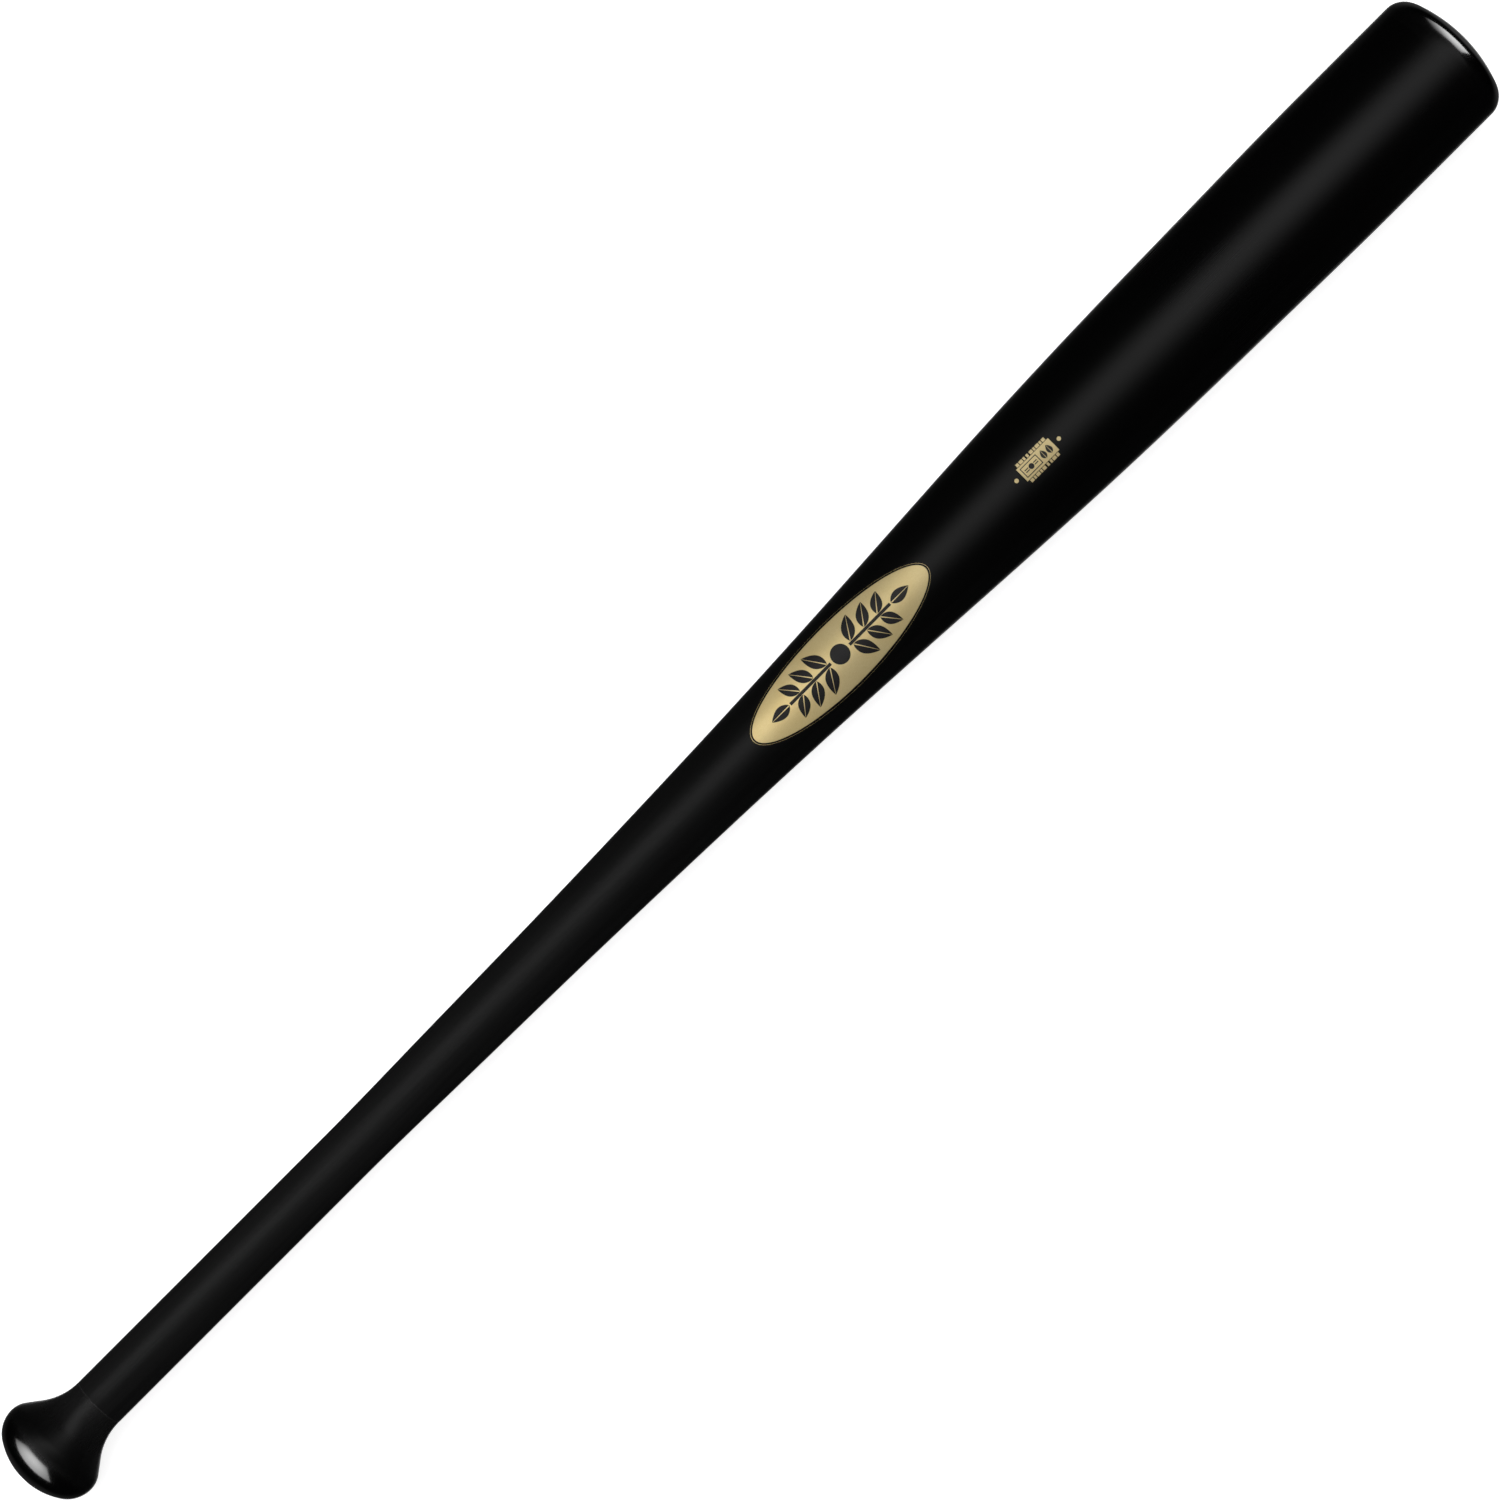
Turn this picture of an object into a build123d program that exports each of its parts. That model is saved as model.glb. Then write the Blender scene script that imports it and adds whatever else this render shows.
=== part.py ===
from build123d import *
import os
from math import asin, cos, degrees, radians, sin, tan

# A baseball bat of the composite-core kind: a turned knob, a rod and a foam core wrapped in two
# fibre sleeves, a skin of twelve maple staves, an end block and the foil labels.
# The bat lies along +X from the knob to the barrel, with its labelled side up along +Z.
# The origin is the centre of the small flat on the knob's end. Millimetres and degrees.

# Whole bat
LENGTH = 863.6  # 34 inches
BLOCK_JOINT = 846.0  # where the staves meet the end block

# Outline of the grip, the taper and the barrel, as (distance from the knob's end, radius)
HANDLE_R = 12.1
BARREL_R = 31.7
TAPER = [
    (190.0, HANDLE_R),
    (250.0, 13.05),
    (310.0, 14.1),
    (370.0, 15.7),
    (430.0, 17.8),
    (490.0, 20.65),
    (550.0, 24.15),
    (610.0, 27.45),
    (670.0, 29.6),
    (730.0, 30.8),
    (795.0, BARREL_R),
]
TAPER_START = TAPER[0][0]
TAPER_END = TAPER[-1][0]

# Knob: a small flat, a crowned end, a round rim and a flare that runs into the grip
KNOB_R = 23.95
KNOB_FLAT_R = 8.0
KNOB_CROWN_R = 32.0
KNOB_RIM_R = 13.4
KNOB_BACK_R = 10.4
FLARE_R = 27.7
FLARE_SLOPE = 36.5
KNOB_BORE_START = 13.0

# Barrel end: a crown with a rounded corner, and the spigot that seats the block in the core
CROWN_R = 68.5
CORNER_R = 9.5
SPIGOT_R = 14.0
SPIGOT_LENGTH = 30.0

# Layers, measured radially in from the outer surface
STAVE_THICKNESS = 3.0
SLEEVE_THICKNESS = 0.8
STAVE_COUNT = 12

# Rod in the handle, which also holds the knob
ROD_SPIGOT_R = 4.5
ROD_SPIGOT_LENGTH = 40.0
GLUE_GAP = 1.0  # room for glue past the end of each tenon
TENON_CHAMFER = 1.0

# Foil labels
FOIL = 0.12
OVAL_CENTRE = 491.3
OVAL_LENGTH = 101.8
OVAL_WIDTH = 27.6
OVAL_TURN = 5.2  # how far round the bat from the top the label sits
SPEC_CENTRE = 607.5
SPEC_LENGTH = 18.8
SPEC_WIDTH = 10.3
SPEC_TURN = 1.9
SPEC_CORNER_R = 0.4
DOT_R = 0.95
DOT_SPACING = 25.0

OUTER_SLEEVE_DEPTH = STAVE_THICKNESS
INNER_SLEEVE_DEPTH = OUTER_SLEEVE_DEPTH + SLEEVE_THICKNESS
CORE_DEPTH = INNER_SLEEVE_DEPTH + SLEEVE_THICKNESS
ROD_R = HANDLE_R - CORE_DEPTH
STAVE_ANGLE = 360.0 / STAVE_COUNT

# The knob's tangent arcs: where its crown begins and its rim takes over, as angles from the axis,
# then the straight part of its back, and the place where the flare has run down to the grip
crown_start = degrees(asin(KNOB_FLAT_R / KNOB_CROWN_R))
rim_start = degrees(asin((KNOB_R - KNOB_RIM_R) / (KNOB_CROWN_R - KNOB_RIM_R)))
widest_x = KNOB_CROWN_R * cos(radians(crown_start)) - (KNOB_CROWN_R - KNOB_RIM_R) * cos(radians(rim_start))
arcs_drop = (KNOB_BACK_R + FLARE_R) * (1 - cos(radians(FLARE_SLOPE)))
arcs_run = (KNOB_BACK_R + FLARE_R) * sin(radians(FLARE_SLOPE))
slope_drop = KNOB_R - HANDLE_R - arcs_drop
KNOB_JOINT = widest_x + arcs_run + slope_drop / tan(radians(FLARE_SLOPE))


def taper_line(depth):
    """The taper's curve at a depth under the surface, level where it meets the grip and the barrel."""
    points = [(x, r - depth) for x, r in TAPER]
    return Spline(*points, tangents=[(1, 0), (1, 0)])


def layer_outline(top, bottom):
    """Closed half section of a full-length layer of the bat between two depths."""
    outer_grip = Line((KNOB_JOINT, HANDLE_R - top), (TAPER_START, HANDLE_R - top))
    taper_line(top)
    outer_barrel = Line((TAPER_END, BARREL_R - top), (BLOCK_JOINT, BARREL_R - top))
    inner_grip = Line((KNOB_JOINT, HANDLE_R - bottom), (TAPER_START, HANDLE_R - bottom))
    taper_line(bottom)
    inner_barrel = Line((TAPER_END, BARREL_R - bottom), (BLOCK_JOINT, BARREL_R - bottom))
    Line(outer_grip @ 0, inner_grip @ 0)
    Line(outer_barrel @ 1, inner_barrel @ 1)


def foil_outline():
    """Closed half section of a foil's thickness lying on the taper."""
    under = taper_line(0)
    over = taper_line(-FOIL)
    Line(under @ 0, over @ 0)
    Line(under @ 1, over @ 1)


def finish(piece, name):
    """Names a finished piece and writes it."""
    piece.label = name
    export_step(piece, f"parts/{name}.step")


os.makedirs("parts", exist_ok=True)

# Knob: one turned piece, its outline a chain of tangent arcs from the flat to the joint

with BuildPart() as knob:
    with BuildSketch(Plane.XZ):
        with BuildLine():
            flat = Line((0, 0), (0, KNOB_FLAT_R))
            crown_tangent = (sin(radians(crown_start)), cos(radians(crown_start)))
            crown = JernArc(flat @ 1, crown_tangent, KNOB_CROWN_R, crown_start - rim_start)
            rim = JernArc(crown @ 1, crown % 1, KNOB_RIM_R, rim_start - 90)
            back = JernArc(rim @ 1, rim % 1, KNOB_BACK_R, -FLARE_SLOPE)
            slope = Line(back @ 1, back @ 1 + (back % 1) * slope_drop / sin(radians(FLARE_SLOPE)))
            flare = JernArc(slope @ 1, slope % 1, FLARE_R, FLARE_SLOPE)
            Polyline(
                flare @ 1,
                (KNOB_JOINT, ROD_R),
                (KNOB_BORE_START, ROD_R),
                (KNOB_BORE_START, 0),
                (0, 0),
            )
        make_face()
    revolve(axis=Axis.X)
finish(knob.part, "knob")

# Handle rod: a tenon in the knob at one end and a slimmer spigot in the foam core at the other
with BuildPart() as handle_core_rod:
    with BuildSketch(Plane.YZ.offset(KNOB_BORE_START + GLUE_GAP)):
        Circle(ROD_R)
    extrude(amount=TAPER_START - KNOB_BORE_START - GLUE_GAP)
    with BuildSketch(Plane.YZ.offset(TAPER_START)):
        Circle(ROD_SPIGOT_R)
    extrude(amount=ROD_SPIGOT_LENGTH)
    rod_ends = handle_core_rod.faces().filter_by(Axis.X).sort_by(Axis.X)
    chamfer(rod_ends[0].edges() + rod_ends[-1].edges(), TENON_CHAMFER)
finish(handle_core_rod.part, "handle_core_rod")

# Foam core: fills the taper and the barrel, bored at both ends
with BuildPart() as barrel_foam_core:
    with BuildSketch(Plane.XZ):
        with BuildLine():
            core_taper = taper_line(CORE_DEPTH)
            core_barrel = Line(core_taper @ 1, (BLOCK_JOINT, BARREL_R - CORE_DEPTH))
            Polyline(
                core_barrel @ 1,
                (BLOCK_JOINT, SPIGOT_R),
                (BLOCK_JOINT - SPIGOT_LENGTH - GLUE_GAP, SPIGOT_R),
                (BLOCK_JOINT - SPIGOT_LENGTH - GLUE_GAP, 0),
                (TAPER_START + ROD_SPIGOT_LENGTH + GLUE_GAP, 0),
                (TAPER_START + ROD_SPIGOT_LENGTH + GLUE_GAP, ROD_SPIGOT_R),
                (TAPER_START, ROD_SPIGOT_R),
                core_taper @ 0,
            )
        make_face()
    revolve(axis=Axis.X)
finish(barrel_foam_core.part, "barrel_foam_core")

# Fibre sleeves: two thin shells wrapped round the rod and the core, full length
with BuildPart() as inner_fibre_sleeve:
    with BuildSketch(Plane.XZ):
        with BuildLine():
            layer_outline(INNER_SLEEVE_DEPTH, CORE_DEPTH)
        make_face()
    revolve(axis=Axis.X)
finish(inner_fibre_sleeve.part, "inner_fibre_sleeve")

with BuildPart() as outer_fibre_sleeve:
    with BuildSketch(Plane.XZ):
        with BuildLine():
            layer_outline(OUTER_SLEEVE_DEPTH, INNER_SLEEVE_DEPTH)
        make_face()
    revolve(axis=Axis.X)
finish(outer_fibre_sleeve.part, "outer_fibre_sleeve")

# Staves: the wooden skin, twelve equal sectors with the first one centred on the top
for index in range(STAVE_COUNT):
    first_edge = (index - 0.5) * STAVE_ANGLE
    with BuildPart() as stave:
        with BuildSketch(Plane.XZ.rotated((first_edge, 0, 0))):
            with BuildLine():
                layer_outline(0, STAVE_THICKNESS)
            make_face()
        revolve(axis=Axis.X, revolution_arc=STAVE_ANGLE)
    finish(stave.part, f"maple_stave_{index + 1:02d}")

# End block: closes the barrel, crowned outside and seated in the core by its spigot
crown_centre = LENGTH - CROWN_R
corner_angle = asin((BARREL_R - CORNER_R) / (CROWN_R - CORNER_R))
corner_start = crown_centre + (CROWN_R - CORNER_R) * cos(corner_angle)

with BuildPart() as barrel_end_block:
    with BuildSketch(Plane.XZ):
        with BuildLine():
            band = Line((BLOCK_JOINT, BARREL_R), (corner_start, BARREL_R))
            corner = JernArc(band @ 1, (1, 0), CORNER_R, degrees(corner_angle) - 90)
            JernArc(corner @ 1, corner % 1, CROWN_R, -degrees(corner_angle))
            Polyline(
                (LENGTH, 0),
                (BLOCK_JOINT - SPIGOT_LENGTH, 0),
                (BLOCK_JOINT - SPIGOT_LENGTH, SPIGOT_R - TENON_CHAMFER),
                (BLOCK_JOINT - SPIGOT_LENGTH + TENON_CHAMFER, SPIGOT_R),
                (BLOCK_JOINT, SPIGOT_R),
                band @ 0,
            )
        make_face()
    revolve(axis=Axis.X)
finish(barrel_end_block.part, "barrel_end_block")

# Oval label: foil pressed onto the staves
oval_plane = Plane.XY.rotated((-OVAL_TURN, 0, 0))
with BuildPart() as oval_label:
    with BuildSketch(Plane.XZ):
        with BuildLine():
            foil_outline()
        make_face()
    revolve(axis=Axis.X)
    with BuildSketch(oval_plane):
        with Locations((OVAL_CENTRE, 0)):
            Ellipse(OVAL_LENGTH / 2, OVAL_WIDTH / 2)
    extrude(amount=BARREL_R, mode=Mode.INTERSECT)
finish(oval_label.part, "oval_label")

# Spec label: a small foil block further up the barrel, with a dot beyond each end
spec_plane = Plane.XY.rotated((-SPEC_TURN, 0, 0))
with BuildPart() as spec_label:
    with BuildSketch(Plane.XZ):
        with BuildLine():
            foil_outline()
        make_face()
    revolve(axis=Axis.X)
    with BuildSketch(spec_plane):
        with Locations((SPEC_CENTRE, 0)):
            RectangleRounded(SPEC_LENGTH, SPEC_WIDTH, SPEC_CORNER_R)
    extrude(amount=BARREL_R, mode=Mode.INTERSECT)
finish(spec_label.part, "spec_label")

with BuildPart() as spec_dots:
    with BuildSketch(Plane.XZ):
        with BuildLine():
            foil_outline()
        make_face()
    revolve(axis=Axis.X)
    with BuildSketch(spec_plane):
        with Locations((SPEC_CENTRE, 0)):
            with GridLocations(DOT_SPACING, 0, 2, 1):
                Circle(DOT_R)
    extrude(amount=BARREL_R, mode=Mode.INTERSECT)
finish(spec_dots.part, "spec_dots")
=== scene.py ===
from math import asin, atan, cos, pi, radians, sin, sqrt, tan

import bmesh
import bpy
import numpy as np
from mathutils import Matrix, Vector


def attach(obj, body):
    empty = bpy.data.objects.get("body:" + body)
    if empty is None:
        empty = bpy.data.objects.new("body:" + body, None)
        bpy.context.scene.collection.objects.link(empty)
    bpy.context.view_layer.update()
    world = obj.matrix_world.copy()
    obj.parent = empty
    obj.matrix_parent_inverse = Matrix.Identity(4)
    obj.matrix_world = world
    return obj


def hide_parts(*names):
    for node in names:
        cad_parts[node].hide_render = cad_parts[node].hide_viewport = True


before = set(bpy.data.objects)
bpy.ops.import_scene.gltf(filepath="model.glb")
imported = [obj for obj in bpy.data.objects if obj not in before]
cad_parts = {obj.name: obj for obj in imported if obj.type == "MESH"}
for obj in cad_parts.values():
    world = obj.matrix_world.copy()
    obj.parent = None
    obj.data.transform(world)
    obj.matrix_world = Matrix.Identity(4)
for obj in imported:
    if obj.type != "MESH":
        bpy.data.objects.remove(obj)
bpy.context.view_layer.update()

# A black baseball bat, rebuilt as smooth turned and laid-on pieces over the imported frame.
# It lies along +X from the knob to the barrel, labelled side up along +Z.
# Outlines are worked out in millimetres and every mesh is stored in metres.

MM = 0.001

# ---------------------------------------------------------------- driving sizes, as in the CAD

LENGTH = 863.6
BLOCK_JOINT = 846.0
HANDLE_R = 12.1
BARREL_R = 31.7
TAPER = [
    (190.0, HANDLE_R),
    (250.0, 13.05),
    (310.0, 14.1),
    (370.0, 15.7),
    (430.0, 17.8),
    (490.0, 20.65),
    (550.0, 24.15),
    (610.0, 27.45),
    (670.0, 29.6),
    (730.0, 30.8),
    (795.0, BARREL_R),
]
TAPER_START = TAPER[0][0]
TAPER_END = TAPER[-1][0]

KNOB_R = 23.95
KNOB_FLAT_R = 8.0
KNOB_CROWN_R = 32.0
KNOB_RIM_R = 13.4
KNOB_BACK_R = 10.4
FLARE_R = 27.7
FLARE_SLOPE = radians(36.5)
KNOB_BORE_START = 13.0

CROWN_R = 68.5
CORNER_R = 9.5
SPIGOT_R = 14.0
SPIGOT_LENGTH = 30.0

STAVE_THICKNESS = 3.0
SLEEVE_THICKNESS = 0.8
STAVE_COUNT = 12
INNER_SLEEVE_DEPTH = STAVE_THICKNESS + SLEEVE_THICKNESS
CORE_DEPTH = INNER_SLEEVE_DEPTH + SLEEVE_THICKNESS
ROD_R = HANDLE_R - CORE_DEPTH
ROD_SPIGOT_R = 4.5
ROD_SPIGOT_LENGTH = 40.0
GLUE_GAP = 1.0
TENON_CHAMFER = 1.0

FOIL = 0.12
OVAL_CENTRE = 491.3
OVAL_HALF_LENGTH = 50.9
OVAL_HALF_WIDTH = 13.8
OVAL_TURN = radians(5.2)
SPEC_CENTRE = 607.5
SPEC_HALF_LENGTH = 9.4
SPEC_HALF_WIDTH = 5.15
SPEC_TURN = radians(1.9)
DOT_R = 0.95
DOT_SPACING = 25.0

# ---------------------------------------------------------------- sizes of the finer detail

STEPS_PER_STAVE = 20
STEPS_ROUND = STAVE_COUNT * STEPS_PER_STAVE
ARC_STEP = radians(2.5)
RUN_STEP = 4.5
ON_AXIS = 1e-6
JOINT_WIDTH = 0.3
JOINT_DEPTH = 0.1
EASED_SHARE = 0.3  # how much of an eased edge's depth is left at its middle point
SMOOTH_UNDER = radians(32.0)
FOIL_SMOOTH_UNDER = radians(50.0)
INK = 0.03
GRID_SHIFT = 0.37  # share of a cell, which keeps the cuts of a laid plate off its own corners
GRID_MERGE = 1e-5
FOIL_EDGE = 0.06
HAIRLINE_GAP = 0.95
HAIRLINE_END_WIDTH = 0.15
HAIRLINE_SIDE_WIDTH = 0.05
HAIRLINE_HEIGHT = 0.08

# Lathe marks on the knob's flat, as (distance, radius): a centre hole and a fine ring
CENTRE_MARK = [(0.55, 0.0), (0.5, 0.35), (0.12, 0.95), (0.02, 1.2), (0.0, 1.6), (0.0, 3.0)]
RING_MARK = [(0.0, 5.2), (0.035, 5.35), (0.035, 5.5), (0.0, 5.65)]
FLAT_EDGE = 0.5

# Laurel printed on the oval foil: a berry, then pairs of leaves as (base, length, width, angle)
BERRY_R = 4.4
STEM_WIDTH = 1.4
STEM_START = 5.6
STEM_END = 29.8
LEAF_GAP = 0.2
END_LEAF_GAP = 0.5
LEAF_PAIRS = [(7.0, 11.6, 5.9, 57.0), (15.1, 11.0, 5.6, 54.0), (23.0, 9.8, 5.2, 51.0)]
END_LEAF = (10.4, 5.4)
LEAF_WIDEST = 0.82  # a leaf's widest place, which moves towards its tip as this grows
LEAF_FULLNESS = 0.88
RIB_NARROWING = 0.75
RIB_MOST = 0.6  # of the leaf's own half width

# The small label: a block between two rows of bars, with a framed cell and two upright leaves
BLOCK_HALF_WIDTH = 3.45
ROW_GAP = 0.25
ROW_BARS = [
    (-8.3, -6.9),
    (-6.5, -4.6),
    (-4.2, -3.2),
    (-2.4, -1.3),
    (-0.5, 1.2),
    (1.6, 2.6),
    (3.0, 4.9),
    (5.3, 6.3),
    (6.7, 8.3),
]
CELL_LEFT = -8.3
CELL_RIGHT = 0.9
CELL_HALF_WIDTH = 2.5
CELL_LINE = 0.38
CELL_CENTRE = -3.7
CELL_DOT_R = 1.25
CELL_BAR_SPACING = 2.5
CELL_BAR_HALF_LENGTH = 1.0
CELL_BAR_INNER = 0.28
CELL_BAR_OUTER = 0.72
BADGE_PLACES = (3.3, 6.6)
BADGE_FOOT = -2.2
BADGE_LEAF = (4.4, 2.7, 0.3)
DOT_CELL = 0.4

# ---------------------------------------------------------------- the bat's outline


def taper_slopes():
    """Slopes at the taper's points for a smooth curve that is level at both ends."""
    x = np.array([p[0] for p in TAPER])
    r = np.array([p[1] for p in TAPER])
    gap = np.diff(x)
    rise = np.diff(r) / gap
    count = len(x)
    system = np.eye(count)
    right = np.zeros(count)
    for i in range(1, count - 1):
        system[i, i - 1] = gap[i]
        system[i, i] = 2 * (gap[i - 1] + gap[i])
        system[i, i + 1] = gap[i - 1]
        right[i] = 3 * (gap[i] * rise[i - 1] + gap[i - 1] * rise[i])
    return np.linalg.solve(system, right)


SLOPES = taper_slopes()


def skin_radius(x):
    """Radius of the grip, taper and barrel at a distance from the knob's end."""
    if x <= TAPER_START:
        return HANDLE_R
    if x >= TAPER_END:
        return BARREL_R
    i = max(k for k in range(len(TAPER) - 1) if TAPER[k][0] <= x)
    (x0, r0), (x1, r1) = TAPER[i], TAPER[i + 1]
    gap = x1 - x0
    t = (x - x0) / gap
    low = (1 + 2 * t) * (1 - t) ** 2 * r0 + t * (1 - t) ** 2 * gap * SLOPES[i]
    high = t * t * (3 - 2 * t) * r1 + t * t * (t - 1) * gap * SLOPES[i + 1]
    return low + high


def arc(centre, radius, start, end):
    """Points of an arc, by the angle of its normal from the +X axis."""
    steps = max(2, round(abs(end - start) / ARC_STEP))
    angles = [start + (end - start) * i / steps for i in range(steps + 1)]
    return [(centre[0] + radius * cos(a), centre[1] + radius * sin(a)) for a in angles]


def stations(start, end):
    """Even distances from start to end, with the taper's ends among them."""
    stops = [start] + [s for s in (TAPER_START, TAPER_END) if start < s < end] + [end]
    run = [start]
    for a, b in zip(stops, stops[1:]):
        steps = max(1, round((b - a) / RUN_STEP))
        run += [a + (b - a) * i / steps for i in range(1, steps + 1)]
    return run


def layer(start, end, depth):
    """Points of the bat's outline at a depth under its surface."""
    return [(x, skin_radius(x) - depth) for x in stations(start, end)]


crown_start = asin(KNOB_FLAT_R / KNOB_CROWN_R)
rim_start = asin((KNOB_R - KNOB_RIM_R) / (KNOB_CROWN_R - KNOB_RIM_R))
crown_x = KNOB_CROWN_R * cos(crown_start)
widest_x = crown_x - (KNOB_CROWN_R - KNOB_RIM_R) * cos(rim_start)
slope_drop = KNOB_R - HANDLE_R - (KNOB_BACK_R + FLARE_R) * (1 - cos(FLARE_SLOPE))
KNOB_JOINT = widest_x + (KNOB_BACK_R + FLARE_R) * sin(FLARE_SLOPE) + slope_drop / tan(FLARE_SLOPE)

corner_angle = asin((BARREL_R - CORNER_R) / (CROWN_R - CORNER_R))
corner_x = LENGTH - CROWN_R + (CROWN_R - CORNER_R) * cos(corner_angle)

# ---------------------------------------------------------------- turned meshes


def linked(name, data):
    """A new object with the given data, in the scene."""
    thing = bpy.data.objects.new(name, data)
    bpy.context.collection.objects.link(thing)
    return thing


def shaped(name, points, faces, normals):
    """An object from points in metres, faces and one normal per face corner."""
    mesh = bpy.data.meshes.new(name)
    mesh.from_pydata(points, [], faces)
    mesh.shade_smooth()
    mesh.set_sharp_from_angle(angle=SMOOTH_UNDER)
    mesh.normals_split_custom_set(normals)
    return linked(name, mesh)


def run_normals(outline):
    """Normals at both ends of each side of an outline, smooth except across its corners."""
    count = len(outline)
    flat = []
    for i in range(count):
        (x0, r0), (x1, r1) = outline[i], outline[(i + 1) % count]
        flat.append(Vector((-(r1 - r0), x1 - x0)).normalized())
    ends = []
    for i in range(count):
        pair = []
        for other in (flat[i - 1], flat[(i + 1) % count]):
            mean = flat[i] + other
            smooth = flat[i].angle(other, pi) < SMOOTH_UNDER
            pair.append(mean.normalized() if smooth else flat[i])
        ends.append(pair)
    return ends


def turned(name, outline, first=0, steps=STEPS_ROUND):
    """A piece turned about X from a closed outline listed with its outside on the left.

    The outline is (distance, radius) in millimetres. steps short of a full turn gives a sector
    with flat sides, and first counts steps round from the top towards +Y.
    """
    full = steps == STEPS_ROUND
    columns = steps if full else steps + 1
    angles = [2 * pi * (first + k) / STEPS_ROUND for k in range(columns)]
    count = len(outline)
    points, where = [], []
    for x, r in outline:
        if r < ON_AXIS:
            where.append([len(points)] * columns)
            points.append((x * MM, 0.0, 0.0))
            continue
        where.append([len(points) + k for k in range(columns)])
        points += [(x * MM, r * sin(a) * MM, r * cos(a) * MM) for a in angles]

    faces, normals = [], []
    ends = run_normals(outline)
    for i in range(count):
        j = (i + 1) % count
        if outline[i][1] < ON_AXIS and outline[j][1] < ON_AXIS:
            continue
        for k in range(steps):
            after = (k + 1) % columns
            corners = [(i, k), (i, after), (j, after), (j, k)]
            face, tilt = [], []
            for row, column in corners:
                index = where[row][column]
                if index in face:
                    continue
                end = ends[i][0 if row == i else 1]
                angle = angles[column]
                face.append(index)
                tilt.append((end[0], end[1] * sin(angle), end[1] * cos(angle)))
            faces.append(face[::-1])
            normals += tilt[::-1]
    if not full:
        for column, sign in ((0, -1), (columns - 1, 1)):
            side = [where[i][column] for i in range(count)]
            angle = angles[column]
            facing = (0.0, sign * cos(angle), -sign * sin(angle))
            half = count // 2
            for i in range(half - 1):
                face = [side[i], side[i + 1], side[count - 2 - i], side[count - 1 - i]]
                faces.append(face if sign < 0 else face[::-1])
                normals += [facing] * 4

    return shaped(name, points, faces, normals)


def eased(outline, at_start, at_end):
    """The outer line of a skin with its ends eased down to a fine groove at each joint."""
    points = list(outline)
    steps = [(0.0, JOINT_DEPTH), (JOINT_WIDTH / 2, JOINT_DEPTH * EASED_SHARE), (JOINT_WIDTH, 0.0)]
    if at_start:
        x, r = points[0]
        points[0:1] = [(x + run, r - drop) for run, drop in steps]
    if at_end:
        x, r = points[-1]
        points[-1:] = [(x - run, r - drop) for run, drop in reversed(steps)]
    return points


def knob_outline():
    """The knob from the centre of its end, over the rim and down the flare, then back along its bore."""
    rim_centre = (widest_x, KNOB_R - KNOB_RIM_R)
    back_centre = (widest_x, KNOB_R - KNOB_BACK_R)
    slope_x = widest_x + KNOB_BACK_R * sin(FLARE_SLOPE)
    slope_r = back_centre[1] + KNOB_BACK_R * cos(FLARE_SLOPE)
    foot_x = KNOB_JOINT - FLARE_R * sin(FLARE_SLOPE)
    foot_r = HANDLE_R + FLARE_R * (1 - cos(FLARE_SLOPE))
    flat = CENTRE_MARK + RING_MARK + [(0.0, KNOB_FLAT_R - FLAT_EDGE)]
    crown = arc((crown_x, 0.0), KNOB_CROWN_R, pi - crown_start, pi - rim_start)
    rim = arc(rim_centre, KNOB_RIM_R, pi - rim_start, pi / 2)[1:]
    back = arc(back_centre, KNOB_BACK_R, pi / 2, pi / 2 - FLARE_SLOPE)[1:]
    slope = [(slope_x + (foot_x - slope_x) * t, slope_r + (foot_r - slope_r) * t) for t in (0.5, 1.0)]
    flare_centre = (KNOB_JOINT, HANDLE_R + FLARE_R)
    flare = arc(flare_centre, FLARE_R, -pi / 2 - FLARE_SLOPE, -pi / 2)[1:]
    skin = eased(flat + crown + rim + back + slope + flare, False, True)
    bore = [(KNOB_JOINT, ROD_R), (KNOB_BORE_START, ROD_R), (KNOB_BORE_START, 0.0)]
    return skin + bore


def block_outline():
    """The end block from its spigot, out to the barrel and over the crown to its centre."""
    root = BLOCK_JOINT - SPIGOT_LENGTH
    spigot = [
        (root, 0.0),
        (root, SPIGOT_R - TENON_CHAMFER),
        (root + TENON_CHAMFER, SPIGOT_R),
        (BLOCK_JOINT, SPIGOT_R),
    ]
    band = [(BLOCK_JOINT, BARREL_R), (corner_x, BARREL_R)]
    corner = arc((corner_x, BARREL_R - CORNER_R), CORNER_R, pi / 2, corner_angle)[1:]
    crown = arc((LENGTH - CROWN_R, 0.0), CROWN_R, corner_angle, 0.0)[1:-1]
    return spigot + band + corner + crown + [(LENGTH, 0.0)]


def rod_outline():
    """The handle rod, from its tenon in the knob to the slimmer spigot in the core."""
    tenon = KNOB_BORE_START + GLUE_GAP
    tip = TAPER_START + ROD_SPIGOT_LENGTH
    run = [(x, ROD_R) for x in stations(tenon + TENON_CHAMFER, TAPER_START)]
    return [
        (tenon, 0.0),
        (tenon, ROD_R - TENON_CHAMFER),
        *run,
        (TAPER_START, ROD_SPIGOT_R),
        (tip - TENON_CHAMFER, ROD_SPIGOT_R),
        (tip, ROD_SPIGOT_R - TENON_CHAMFER),
        (tip, 0.0),
    ]


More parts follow.
